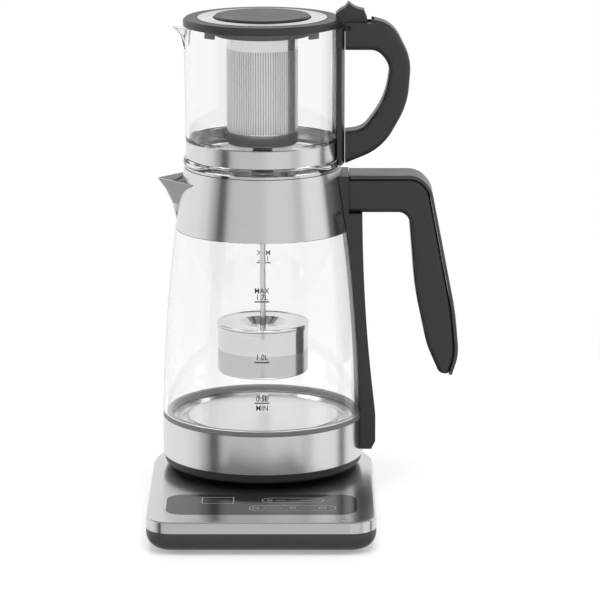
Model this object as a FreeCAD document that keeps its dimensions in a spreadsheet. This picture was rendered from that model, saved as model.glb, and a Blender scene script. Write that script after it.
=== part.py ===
import FreeCAD, Part
import math
import os
import Sketcher

# Tea maker: a D-shaped power base, a glass kettle with a steel collar and spout, a brewing basket
# on a rod under the kettle's lid, and a small glass teapot that stands on the kettle's mouth.
# Millimetres, +Z up. The origin is on the kettle's axis, on the surface that the feet stand on.
# +X points to the handles, -X to the spouts, and -Y to the control panel at the front.

SIZES = {
    # Power base, seen from above: a half circle round the kettle and a straight front
    "base_half_width": 85.5,
    "base_reach": 171,
    "base_corner": 20,
    "foot_height": 2.3,
    "tray_height": 15.1,
    "cover_height": 8.6,
    "tray_wall": 2.5,
    "tray_round": 12,
    "cover_skin": 1.0,
    "cover_edge": 1.6,
    "carrier_wall": 1.8,
    "fit_gap": 0.3,
    "screw_clearance": 0.25,
    "foot_radius": 6,
    "foot_x_front": 55,
    "foot_y_front": 142,
    "foot_x_rear": 45,
    "foot_y_rear": 45,
    "screw_radius": 1.5,
    "screw_head_radius": 2.9,
    "screw_head_height": 1.8,
    "screw_x_front": 68,
    "screw_y_front": 88,
    "screw_x_rear": 58,
    "screw_y_rear": 12,
    "boss_wall": 2.4,
    # Touch panel and what is under it
    "panel_half_width": 71,
    "panel_half_depth": 27.5,
    "panel_centre_y": 121.5,
    "panel_corner": 13,
    "panel_thickness": 1.2,
    "panel_ledge": 4,
    "board_half_width": 64,
    "board_half_depth": 21,
    "board_thickness": 1.6,
    "display_half_width": 13,
    "display_half_depth": 9,
    "display_height": 4.5,
    "display_x": 33,
    "display_y": 110,
    "buzzer_radius": 6,
    "buzzer_height": 4,
    "buzzer_x": 40,
    "power_board_half_width": 38,
    "power_board_half_depth": 17,
    "power_board_y": 60,
    "standoff_height": 3,
    "relay_half_width": 9,
    "relay_half_depth": 6,
    "relay_height": 8,
    # Power connector in the base and its mate under the kettle
    "connector_hole": 30.3,
    "connector_body": 30,
    "connector_depth": 15,
    "connector_flange": 44,
    "connector_flange_height": 1.8,
    "turret_radius": 18,
    "turret_height": 12,
    "turret_slot_outer": 14,
    "turret_slot_inner": 8,
    "turret_slot_depth": 7,
    "contact_pin_radius": 2.5,
    "contact_pin_proud": 3,
    "gland_half_width": 4.5,
    "gland_height": 8,
    "gland_bore": 3.4,
    "gland_proud": 3,
    # Kettle: bottom cup, steel ring, seal, floor
    "cup_bottom": 28.4,
    "cup_foot_radius": 72.5,
    "cup_low_radius": 76,
    "cup_low_height": 2.6,
    "cup_top_radius": 77.5,
    "cup_wall": 2.4,
    "cup_top": 36.3,
    "well_height": 18,
    "ring_radius": 77.8,
    "ring_skin": 1.0,
    "ring_top": 66.4,
    "ring_lip": 6.4,
    "seal_height": 3.8,
    "seal_lip": 1.4,
    "floor_top": 65.8,
    "floor_radius": 57.5,
    "floor_moat": 66,
    "floor_moat_depth": 3,
    "floor_skin": 1.0,
    "element_radius": 42,
    "element_wire": 3.6,
    "sensor_radius": 4,
    "sensor_proud": 2.4,
    "sensor_offset": 51.5,
    "sensor_length": 12,
    # Kettle glass and collar
    "glass_foot_radius": 77.9,
    "glass_wall": 3.0,
    "glass_bow": 1370,
    "collar_bottom": 214.4,
    "collar_low_radius": 67.2,
    "collar_top": 261.3,
    "collar_top_radius": 60.3,
    "collar_skin": 1.0,
    "collar_mouth": 56.5,
    "glass_neck": 8,
    "spout_tip": 81,
    "spout_rim": 252.6,
    "spout_rim_half": 31.5,
    "spout_high": 244,
    "spout_high_tip": 74.9,
    "spout_high_half": 24.5,
    "spout_mid": 233,
    "spout_mid_tip": 69.6,
    "spout_mid_half": 15.5,
    "spout_low": 220,
    "spout_low_tip": 66.6,
    "spout_low_half": 4.5,
    "spout_nose": 2.2,
    "channel_start": 0.3,
    "spout_skin": 1.1,
    "strainer_skin": 0.8,
    "strainer_slots": 9,
    "strainer_slot_width": 1.6,
    # Kettle handle: where the straight runs of its side view would meet, and how far they are rounded
    "grip_half_width": 17,
    "grip_root": 66.5,
    "arm_top": 257,
    "arm_depth": 29,
    "grip_outer_1x": 119.5,
    "grip_outer_2x": 129.8,
    "grip_outer_2z": 246.5,
    "grip_outer_3x": 148.6,
    "grip_outer_3z": 150,
    "grip_outer_4x": 151.5,
    "grip_outer_4z": 116,
    "grip_outer_5x": 146.5,
    "grip_outer_5z": 100.5,
    "grip_inner_5x": 136.5,
    "grip_inner_5z": 101,
    "grip_inner_4x": 126.5,
    "grip_inner_4z": 124,
    "grip_inner_3x": 117.3,
    "grip_inner_3z": 167,
    "grip_inner_2x": 112.2,
    "grip_outer_bend_1": 17.5,
    "grip_outer_bend_2": 21,
    "grip_outer_bend_3": 230,
    "grip_outer_bend_4": 40,
    "grip_outer_bend_5": 3,
    "grip_inner_bend_5": 6,
    "grip_inner_bend_4": 60,
    "grip_inner_bend_3": 180,
    "grip_inner_bend_2": 9,
    "grip_cover": 2.6,
    "grip_edge": 4,
    "cover_edge_round": 1.2,
    "spine_half_width": 20,
    "spine_thickness": 3.2,
    "spine_bottom": 42,
    "spine_back_top": 76.6,
    "spine_back_low": 87.2,
    "spine_back_z": 69,
    "spine_edge": 2.5,
    "handle_screw_radius": 2,
    "handle_screw_head": 3.4,
    "handle_screw_length": 9,
    # Kettle lid, rod and brewing basket
    "lid_flange_radius": 59,
    "lid_flange_height": 1.7,
    "lid_wall_radius": 54.5,
    "lid_depth": 11,
    "lid_skin": 1.0,
    "vent_radius": 5,
    "vent_circle": 36,
    "vent_count": 8,
    "knob_radius": 9,
    "knob_height": 9,
    "rod_radius": 2.25,
    "rod_clearance": 0.05,
    "basket_radius": 34.8,
    "basket_rim": 35.4,
    "basket_top": 139.9,
    "basket_cap_height": 2.1,
    "basket_bead": 2.2,
    "basket_skin": 0.6,
    "basket_strainer_top": 118.4,
    "basket_bottom": 100.8,
    "basket_dimple": 18.6,
    "basket_dimple_floor": 12.2,
    "basket_dimple_depth": 4.8,
    "basket_plug": 7,
    "basket_slots": 36,
    "basket_slot_width": 1.5,
    "basket_slot_height": 13,
    # Teapot
    "pot_foot_bottom": 263.6,
    "pot_bead_radius": 60.7,
    "pot_bead_height": 5.8,
    "pot_waist": 57.6,
    "pot_band_height": 13.4,
    "pot_band_skin": 0.9,
    "pot_low_radius": 59.1,
    "pot_belly": 59.5,
    "pot_belly_z": 340,
    "pot_rim": 59.0,
    "pot_top": 370.7,
    "pot_wall": 2.6,
    "pot_floor_top": 271.4,
    "pot_floor": 3.4,
    "pot_foot_width": 5.5,
    "lip_tip": 68.4,
    "lip_top_half": 13,
    "lip_low": 352,
    "lip_low_tip": 59.6,
    "lip_mid": 362,
    "lip_mid_tip": 61.8,
    "lip_mid_half": 8,
    "lip_low_half": 3,
    "lip_nose": 3,
    # Teapot handle: the same way of drawing
    "pot_grip_half_width": 12,
    "pot_spine_half_width": 18,
    "pot_spine_back": 63,
    "pot_handle_root": 63.4,
    "pot_handle_top": 373.7,
    "pot_slot_end": 83.4,
    "pot_handle_crown": 376.4,
    "pot_outer_1x": 99.5,
    "pot_outer_1z": 373,
    "pot_outer_2x": 113.5,
    "pot_outer_2z": 345,
    "pot_outer_3x": 111,
    "pot_outer_3z": 311,
    "pot_outer_4x": 92,
    "pot_outer_4z": 277,
    "pot_handle_bottom": 265.2,
    "pot_inner_bottom": 290,
    "pot_inner_4x": 76.5,
    "pot_inner_4z": 291.5,
    "pot_inner_3x": 93.3,
    "pot_inner_3z": 314,
    "pot_inner_2x": 97.5,
    "pot_inner_2z": 341,
    "pot_inner_1x": 88,
    "pot_inner_top": 352.6,
    "pot_outer_bend_1": 24,
    "pot_outer_bend_2": 36,
    "pot_outer_bend_3": 60,
    "pot_outer_bend_4": 45,
    "pot_inner_bend_4": 16,
    "pot_inner_bend_3": 60,
    "pot_inner_bend_2": 16,
    "pot_inner_bend_1": 12,
    "pot_grip_edge": 4.5,
    # Lid hinge
    "hinge_x": 65.9,
    "hinge_z": 370,
    "hinge_pin_radius": 2.0,
    "hinge_clearance": 0.06,
    "knuckle_radius": 4.6,
    "lever_half_width": 7,
    "slot_clearance": 0.5,
    "lever_tip_height": 18.6,
    # Teapot lid
    "pot_lid_radius": 60.4,
    "pot_lid_bottom": 371.0,
    "pot_lid_height": 5.6,
    "pot_lid_hole": 37.3,
    "pot_lid_wall": 1.8,
    "lid_ring_radius": 49.5,
    "lid_ring_skin": 0.8,
    "lid_ring_dish": 0.7,
    # Infuser in the teapot
    "infuser_cap_radius": 36.7,
    "infuser_cap_top": 378.6,
    "infuser_radius": 27.2,
    "infuser_skin": 0.6,
    "infuser_flange": 32.6,
    "infuser_seat_z": 366.0,
    "infuser_mesh_top": 353.8,
    "infuser_mesh_bottom": 289.7,
    "infuser_bottom": 279.7,
    "infuser_slots": 30,
    "infuser_slot_width": 2.4,
    "carrier_ring_outer": 36.2,
    "carrier_ring_inner": 33.0,
    "carrier_bottom": 363.6,
    "carrier_lip": 1.5,
    "carrier_arm_half": 4.2,
    "carrier_arm_height": 2.4,
    "carrier_tab_height": 5.0,
    "carrier_tab_width": 2.6,
}


class Size:
    """A size from the sheet, or a sum of such sizes: its value, and the expression that binds it."""

    def __init__(self, value, text):
        self.value = float(value)
        self.text = text

    def __add__(self, other):
        other = as_size(other)
        return Size(self.value + other.value, "(%s + %s)" % (self.text, other.text))

    def __sub__(self, other):
        other = as_size(other)
        return Size(self.value - other.value, "(%s - %s)" % (self.text, other.text))

    def __mul__(self, other):
        other = as_size(other)
        return Size(self.value * other.value, "(%s * %s)" % (self.text, other.text))

    def __truediv__(self, other):
        other = as_size(other)
        return Size(self.value / other.value, "(%s / %s)" % (self.text, other.text))

    def __neg__(self):
        return Size(-self.value, "(-1 * %s)" % self.text)

    __radd__ = __add__

    def __rsub__(self, other):
        return as_size(other) - self

    __rmul__ = __mul__


def as_size(number):
    return number if isinstance(number, Size) else Size(number, repr(float(number)))


class SheetSizes:
    """Reads a size by its name in the sheet."""

    def __getattr__(self, name):
        return Size(sheet.get(name), "sizes." + name)


os.makedirs("parts", exist_ok=True)
doc = FreeCAD.newDocument("tea_maker")
sheet = doc.addObject("Spreadsheet::Sheet", "sizes")
for row, (name, value) in enumerate(SIZES.items(), start=1):
    sheet.set("A%d" % row, name)
    sheet.set("B%d" % row, str(value))
    sheet.setAlias("B%d" % row, name)
doc.recompute()
s = SheetSizes()
nodes = []


# Drawing helpers


def new_body(label):
    body = doc.addObject("PartDesign::Body", label)
    body.AllowCompound = True
    nodes.append(body)
    return body


def plane_of(body, role):
    return [o for o in body.Origin.OriginFeatures if o.Role == role][0]


def new_sketch(body, name, plane="XZ_Plane", height=None):
    sk = body.newObject("Sketcher::SketchObject", name)
    sk.AttachmentSupport = [(plane_of(body, plane), "")]
    sk.MapMode = "FlatFace"
    if height is not None:
        sk.setExpression("AttachmentOffset.Base.z", as_size(height).text)
    return sk


def fix_point(sk, geometry, position, x, y):
    """Ties a point of the sketch to its two sizes."""
    for kind, size, axis in (("DistanceX", as_size(x), -2), ("DistanceY", as_size(y), -1)):
        if abs(size.value) < 1e-9:
            sk.addConstraint(Sketcher.Constraint("PointOnObject", geometry, position, axis))
        else:
            index = sk.addConstraint(Sketcher.Constraint(kind, geometry, position, size.value))
            sk.setExpression("Constraints[%d]" % index, size.text)


def draw_loop(sk, corners):
    """A closed loop of corners (x, y) or (x, y, bend): with a bend, an arc of that radius runs
    to the next corner, bowed to the left of the way for a positive radius."""
    corners = [tuple(as_size(v) for v in corner) for corner in corners]
    ends = []
    for i, corner in enumerate(corners):
        following = corners[(i + 1) % len(corners)]
        p = FreeCAD.Vector(corner[0].value, corner[1].value, 0)
        q = FreeCAD.Vector(following[0].value, following[1].value, 0)
        if len(corner) == 2:
            ends.append((sk.addGeometry(Part.LineSegment(p, q)), 1, 2))
            continue
        bend = corner[2].value
        way = q - p
        left = FreeCAD.Vector(-way.y, way.x, 0).normalize() * (1 if bend > 0 else -1)
        half = way.Length / 2
        rise = math.sqrt(max(bend * bend - half * half, 0))
        centre = (p + q) * 0.5 - left * rise
        circle = Part.Circle(centre, FreeCAD.Vector(0, 0, 1), abs(bend))
        start, stop = (q, p) if bend > 0 else (p, q)
        angles = [math.atan2(v.y - centre.y, v.x - centre.x) for v in (start, stop)]
        if angles[1] < angles[0]:
            angles[1] += 2 * math.pi
        arc = Part.ArcOfCircle(circle, angles[0], angles[1])
        ends.append((sk.addGeometry(arc), 2, 1) if bend > 0 else (sk.addGeometry(arc), 1, 2))
    for i, corner in enumerate(corners):
        geometry, first, last = ends[i]
        before, _, before_last = ends[i - 1]
        sk.addConstraint(Sketcher.Constraint("Coincident", before, before_last, geometry, first))
        fix_point(sk, geometry, first, corner[0], corner[1])
        if len(corner) == 3:
            bend = corner[2]
            index = sk.addConstraint(Sketcher.Constraint("Radius", geometry, abs(bend.value)))
            text = bend.text if bend.value > 0 else (-bend).text
            sk.setExpression("Constraints[%d]" % index, text)


def draw_circle(sk, x, y, radius):
    x, y, radius = as_size(x), as_size(y), as_size(radius)
    circle = Part.Circle(FreeCAD.Vector(x.value, y.value, 0), FreeCAD.Vector(0, 0, 1), radius.value)
    geometry = sk.addGeometry(circle)
    fix_point(sk, geometry, 3, x, y)
    index = sk.addConstraint(Sketcher.Constraint("Radius", geometry, radius.value))
    sk.setExpression("Constraints[%d]" % index, radius.text)


def box_loop(x_low, x_high, y_low, y_high):
    return [(x_low, y_low), (x_high, y_low), (x_high, y_high), (x_low, y_high)]


def feature_of(body, kind, name, sk):
    feature = body.newObject("PartDesign::" + kind, name)
    feature.Profile = (sk, [""])
    return feature


def revolve(body, name, corners, kind="Revolution", angle=None):
    """Turns a profile of radius and height about the upright axis."""
    sk = new_sketch(body, name + "_profile")
    draw_loop(sk, corners)
    feature = feature_of(body, kind, name, sk)
    feature.ReferenceAxis = (sk, ["V_Axis"])
    if angle is not None:
        feature.Midplane = True
        feature.Angle = angle
    return feature


def extrude(body, name, sk, length, kind="Pad", symmetric=False, reverse=False):
    feature = feature_of(body, kind, name, sk)
    feature.SideType = "Symmetric" if symmetric else "One side"
    feature.setExpression("Length", as_size(length).text)
    feature.Reversed = reverse
    return feature


def side_pad(body, name, corners, half_width, kind="Pad"):
    """A side profile in X and Z, made as wide as the piece to both sides of the middle plane."""
    sk = new_sketch(body, name + "_profile")
    draw_loop(sk, corners)
    return extrude(body, name, sk, half_width * 2, kind, symmetric=True)


def round_edges(body, name, base, radius, test, kind="Fillet"):
    """Rounds or chamfers the edges of a feature that the test picks by their box."""
    doc.recompute()
    chosen = ["Edge%d" % (i + 1) for i, e in enumerate(base.Shape.Edges) if test(e)]
    feature = body.newObject("PartDesign::" + kind, name)
    feature.Base = (base, chosen)
    feature.setExpression("Radius" if kind == "Fillet" else "Size", as_size(radius).text)
    return feature


def round_corners(body, name, base, corners):
    """Rounds the corners of a side pad, each given as (x, z, radius), one feature for each radius."""
    for i, (x, z, radius) in enumerate(corners):
        x, z = as_size(x).value, as_size(z).value
        base = round_edges(
            body, "%s_%d" % (name, i), base, radius,
            lambda e: e.BoundBox.XLength < 1e-3 and e.BoundBox.ZLength < 1e-3
            and math.hypot(e.BoundBox.XMin - x, e.BoundBox.ZMin - z) < 1e-3,
        )
    return base


def is_side_edge(edge, half):
    """True for an edge that lies in the flat side of a side pad."""
    box = edge.BoundBox
    return abs(abs(box.YMin) - half.value) < 1e-3 and box.YLength < 1e-3


def repeat(body, name, original, count):
    """Copies a feature in a ring about the upright axis."""
    pattern = body.newObject("PartDesign::PolarPattern", name)
    pattern.Originals = [original]
    pattern.Axis = (plane_of(body, "Z_Axis"), [""])
    pattern.Angle = 360
    pattern.setExpression("Occurrences", count.text)
    body.Tip = pattern
    return pattern


def cylinder(name, radius, height, x, y, z):
    part = doc.addObject("Part::Cylinder", name)
    part.setExpression("Radius", as_size(radius).text)
    part.setExpression("Height", as_size(height).text)
    for axis, size in zip("xyz", (x, y, z)):
        part.setExpression("Placement.Base." + axis, as_size(size).text)
    return part


def group(label, pieces):
    """Like pieces that share one node as separate solids."""
    compound = doc.addObject("Part::Compound", label)
    compound.Links = pieces
    nodes.append(compound)
    return compound


def is_upright(edge):
    box = edge.BoundBox
    return box.ZLength > 0.5 and box.XLength < 1e-4 and box.YLength < 1e-4


def lies_at(edge, height):
    box = edge.BoundBox
    return abs(box.ZMin - height) < 1e-3 and abs(box.ZMax - height) < 1e-3


def d_plan(body, name, bottom, height, inset, kind="Pad"):
    """The base's outline from above, drawn in by an inset, as a block from a height upwards."""
    half = s.base_half_width - inset
    reach = s.base_reach - inset
    corner = s.base_corner - inset
    sk = new_sketch(body, name + "_plan", "XY_Plane", bottom)
    draw_loop(sk, [
        (half, 0, -half),
        (0, half, -half),
        (-half, 0),
        (-half, corner - reach, -corner),
        (corner - half, -reach),
        (half - corner, -reach, -corner),
        (half, corner - reach),
    ])
    return extrude(body, name, sk, height, kind, reverse=kind == "Pocket")


tray_bottom = s.foot_height
tray_top = tray_bottom + s.tray_height
cover_top = tray_top + s.cover_height
skin_under = cover_top - s.cover_skin
panel_y = -s.panel_centre_y
panel_bottom = cover_top - s.panel_thickness
screw_places = [
    (x, y)
    for x0, y in ((s.screw_x_front, -s.screw_y_front), (s.screw_x_rear, s.screw_y_rear))
    for x in (-x0, x0)
]
# A foot near each corner, and one in the middle, where the kettle's weight comes down
foot_places = [
    (x, y)
    for x0, y in ((s.foot_x_front, -s.foot_y_front), (s.foot_x_rear, s.foot_y_rear))
    for x in (-x0, x0)
] + [(0, 0)]


# Tray: the dark moulded bottom shell of the base, with screw bosses and the cord's notch


def make_tray():
    body = new_body("base_tray")
    outer = d_plan(body, "tray", tray_bottom, s.tray_height, Size(0, "0"))
    round_edges(
        body, "tray_underside", outer, s.tray_round, lambda e: lies_at(e, tray_bottom.value)
    )
    # The room narrows in steps towards the floor, to follow the rounded underside
    for i, (rise, inset) in enumerate((
        (s.tray_wall, s.tray_round * 0.67),
        (s.tray_wall * 2, s.tray_round * 0.42),
        (s.tray_wall * 3.2, s.tray_wall),
    )):
        d_plan(body, "tray_room_%d" % i, tray_bottom + rise, s.tray_height, inset, "Pocket")
    bosses = new_sketch(body, "tray_bosses_plan", "XY_Plane", tray_bottom + s.tray_wall)
    for x, y in screw_places:
        draw_circle(bosses, x, y, s.screw_head_radius + s.screw_clearance + s.boss_wall)
    extrude(body, "tray_bosses", bosses, s.tray_height - s.tray_wall - s.fit_gap)
    standoffs = new_sketch(body, "tray_standoffs_plan", "XY_Plane", tray_bottom + s.tray_wall)
    reach_x = s.power_board_half_width - s.boss_wall
    reach_y = s.power_board_half_depth - s.boss_wall
    for x in (-reach_x, reach_x):
        for y in (-s.power_board_y - reach_y, -s.power_board_y + reach_y):
            draw_circle(standoffs, x, y, s.boss_wall)
    extrude(body, "tray_standoffs", standoffs, s.standoff_height)
    wells = new_sketch(body, "tray_wells_plan", "XY_Plane", tray_bottom)
    for x, y in screw_places:
        draw_circle(wells, x, y, s.screw_head_radius + s.screw_clearance)
    extrude(body, "tray_wells", wells, s.tray_wall + s.screw_head_height, "Pocket", reverse=True)
    holes = new_sketch(body, "tray_holes_plan", "XY_Plane", tray_bottom)
    for x, y in screw_places:
        draw_circle(holes, x, y, s.screw_radius + s.screw_clearance)
    extrude(body, "tray_holes", holes, s.tray_height, "Pocket", reverse=True)
    notch = new_sketch(body, "tray_notch_plan", "XY_Plane", tray_bottom + s.tray_wall)
    half = s.gland_half_width + s.fit_gap
    draw_loop(notch, box_loop(-half, half, s.base_half_width - s.tray_round, s.base_half_width + 1))
    extrude(body, "tray_notch", notch, s.tray_height, "Pocket", reverse=True)


# Carrier: the moulded upper frame under the steel, which holds the panel and the connector


def make_carrier():
    body = new_body("base_carrier")
    inset = s.cover_skin + s.fit_gap
    height = s.cover_height - s.cover_skin - s.fit_gap - s.fit_gap
    d_plan(body, "carrier", tray_top + s.fit_gap, height, inset)
    d_plan(
        body, "carrier_room", tray_top + s.fit_gap, height - s.carrier_wall,
        inset + s.carrier_wall, "Pocket",
    )
    bosses = new_sketch(body, "carrier_bosses_plan", "XY_Plane", tray_top)
    for x, y in screw_places:
        draw_circle(bosses, x, y, s.screw_radius + s.screw_clearance + s.boss_wall)
    extrude(body, "carrier_bosses", bosses, height)
    holes = new_sketch(body, "carrier_holes_plan", "XY_Plane", tray_top)
    for x, y in screw_places:
        draw_circle(holes, x, y, s.screw_radius + s.screw_clearance)
    extrude(body, "carrier_holes", holes, height - s.carrier_wall, "Pocket", reverse=True)
    opening = new_sketch(body, "carrier_opening_plan", "XY_Plane", tray_top)
    draw_circle(opening, 0, 0, s.connector_hole)
    extrude(body, "carrier_opening", opening, s.cover_height, "Pocket", reverse=True)
    window = new_sketch(body, "carrier_window_plan", "XY_Plane", tray_top)
    half_x = s.panel_half_width - s.panel_ledge
    half_y = s.panel_half_depth - s.panel_ledge
    draw_loop(window, box_loop(-half_x, half_x, panel_y - half_y, panel_y + half_y))
    extrude(body, "carrier_window", window, s.cover_height, "Pocket", reverse=True)


# Cover: brushed steel pressing with a soft edge, cut out for the touch panel and the connector


def make_cover():
    body = new_body("base_cover")
    outer = d_plan(body, "cover", tray_top, s.cover_height, Size(0, "0"))
    round_edges(body, "cover_edge", outer, s.cover_edge, lambda e: lies_at(e, cover_top.value))
    d_plan(body, "cover_room", tray_top, s.cover_height - s.cover_skin, s.cover_skin, "Pocket")
    opening = new_sketch(body, "cover_opening_plan", "XY_Plane", tray_top)
    draw_circle(opening, 0, 0, s.connector_hole)
    extrude(body, "cover_opening", opening, s.cover_height, "Pocket", reverse=True)
    window = new_sketch(body, "cover_window_plan", "XY_Plane", tray_top)
    half_x = s.panel_half_width + s.fit_gap
    half_y = s.panel_half_depth + s.fit_gap
    draw_loop(window, box_loop(-half_x, half_x, panel_y - half_y, panel_y + half_y))
    cut = extrude(body, "cover_window", window, s.cover_height, "Pocket", reverse=True)
    round_edges(
        body, "cover_window_corners", cut, s.panel_corner + s.fit_gap,
        lambda e: is_upright(e) and abs(abs(e.BoundBox.XMin) - half_x.value) < 1e-3,
    )


# Touch panel and the electronics that it hides


def make_panel():
    body = new_body("control_panel")
    plan = new_sketch(body, "panel_plan", "XY_Plane", panel_bottom)
    half_x, half_y = s.panel_half_width, s.panel_half_depth
    draw_loop(plan, box_loop(-half_x, half_x, panel_y - half_y, panel_y + half_y))
    pad = extrude(body, "panel_plate", plan, s.panel_thickness)
    round_edges(body, "panel_corners", pad, s.panel_corner, is_upright)

    board_top = panel_bottom - s.fit_gap
    board_bottom = board_top - s.board_thickness
    body = new_body("touch_board")
    plan = new_sketch(body, "board_plan", "XY_Plane", board_bottom)
    half_x, half_y = s.board_half_width, s.board_half_depth
    draw_loop(plan, box_loop(-half_x, half_x, panel_y - half_y, panel_y + half_y))
    extrude(body, "board_plate", plan, s.board_thickness)

    body = new_body("display_module")
    plan = new_sketch(body, "display_plan", "XY_Plane", board_bottom - s.display_height)
    half_x, half_y = s.display_half_width, s.display_half_depth
    draw_loop(plan, box_loop(
        -s.display_x - half_x, -s.display_x + half_x,
        -s.display_y - half_y, -s.display_y + half_y,
    ))
    extrude(body, "display_block", plan, s.display_height)

    body = new_body("buzzer")
    plan = new_sketch(body, "buzzer_plan", "XY_Plane", board_bottom - s.buzzer_height)
    draw_circle(plan, s.buzzer_x, panel_y, s.buzzer_radius)
    extrude(body, "buzzer_can", plan, s.buzzer_height)


def make_power_board():
    board_bottom = tray_bottom + s.tray_wall + s.standoff_height
    body = new_body("power_board")
    plan = new_sketch(body, "power_plan", "XY_Plane", board_bottom)
    half_x, half_y = s.power_board_half_width, s.power_board_half_depth
    centre = -s.power_board_y
    draw_loop(plan, box_loop(-half_x, half_x, centre - half_y, centre + half_y))
    extrude(body, "power_plate", plan, s.board_thickness)

    body = new_body("power_relay")
    plan = new_sketch(body, "relay_plan", "XY_Plane", board_bottom + s.board_thickness)
    half_x, half_y = s.relay_half_width, s.relay_half_depth
    draw_loop(plan, box_loop(-half_x, half_x, centre - half_y, centre + half_y))
    extrude(body, "relay_block", plan, s.relay_height)


# Power connector: a round turret with contact grooves, so the kettle can turn on it


def make_connector():
    flange_bottom = cover_top
    flange_top = flange_bottom + s.connector_flange_height
    turret_top = cover_top + s.turret_height
    slot_floor = turret_top - s.turret_slot_depth
    bore = s.contact_pin_radius + s.screw_clearance
    body = new_body("base_connector")
    revolve(body, "connector", [
        (bore, cover_top - s.connector_depth),
        (s.connector_body, cover_top - s.connector_depth),
        (s.connector_body, flange_bottom),
        (s.connector_flange, flange_bottom),
        (s.connector_flange, flange_top),
        (s.turret_radius, flange_top),
        (s.turret_radius, turret_top),
        (s.turret_slot_outer, turret_top),
        (s.turret_slot_outer, slot_floor),
        (s.turret_slot_inner, slot_floor),
        (s.turret_slot_inner, turret_top),
        (bore, turret_top),
    ])
    body = new_body("contact_pin")
    plan = new_sketch(body, "contact_pin_plan", "XY_Plane", cover_top - s.connector_depth)
    draw_circle(plan, 0, 0, s.contact_pin_radius)
    extrude(body, "contact_pin_rod", plan, s.connector_depth + s.turret_height + s.contact_pin_proud)


def make_gland():
    body = new_body("cord_gland")
    rear = s.base_half_width + s.gland_proud
    bottom = tray_bottom + s.tray_wall + s.fit_gap
    plan = new_sketch(body, "gland_plan", "XY_Plane", bottom)
    half = s.gland_half_width
    draw_loop(plan, box_loop(-half, half, s.base_half_width - s.tray_round + s.fit_gap, rear))
    extrude(body, "gland_block", plan, s.gland_height)
    bore = new_sketch(body, "gland_bore_plan", "XZ_Plane")
    draw_circle(bore, 0, bottom + s.gland_height / 2, s.gland_bore)
    extrude(body, "gland_bore", bore, rear * 2 + 2, "Pocket", symmetric=True)


def make_fasteners():
    feet = [
        cylinder("foot_%d" % i, s.foot_radius, s.foot_height, x, y, 0)
        for i, (x, y) in enumerate(foot_places)
    ]
    group("base_feet", feet)
    screws = []
    head_bottom = tray_bottom + s.tray_wall
    for i, (x, y) in enumerate(screw_places):
        head = cylinder("screw_head_%d" % i, s.screw_head_radius, s.screw_head_height, x, y, head_bottom)
        shank_length = s.tray_height - s.tray_wall - s.screw_head_height + s.cover_height / 2
        shank = cylinder(
            "screw_shank_%d" % i, s.screw_radius, shank_length, x, y,
            head_bottom + s.screw_head_height,
        )
        screw = doc.addObject("Part::MultiFuse", "screw_%d" % i)
        screw.Shapes = [head, shank]
        screws.append(screw)
    group("base_screws", screws)


# Kettle bottom: dark cup with the well for the female coupler, steel ring, floor and heater


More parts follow.
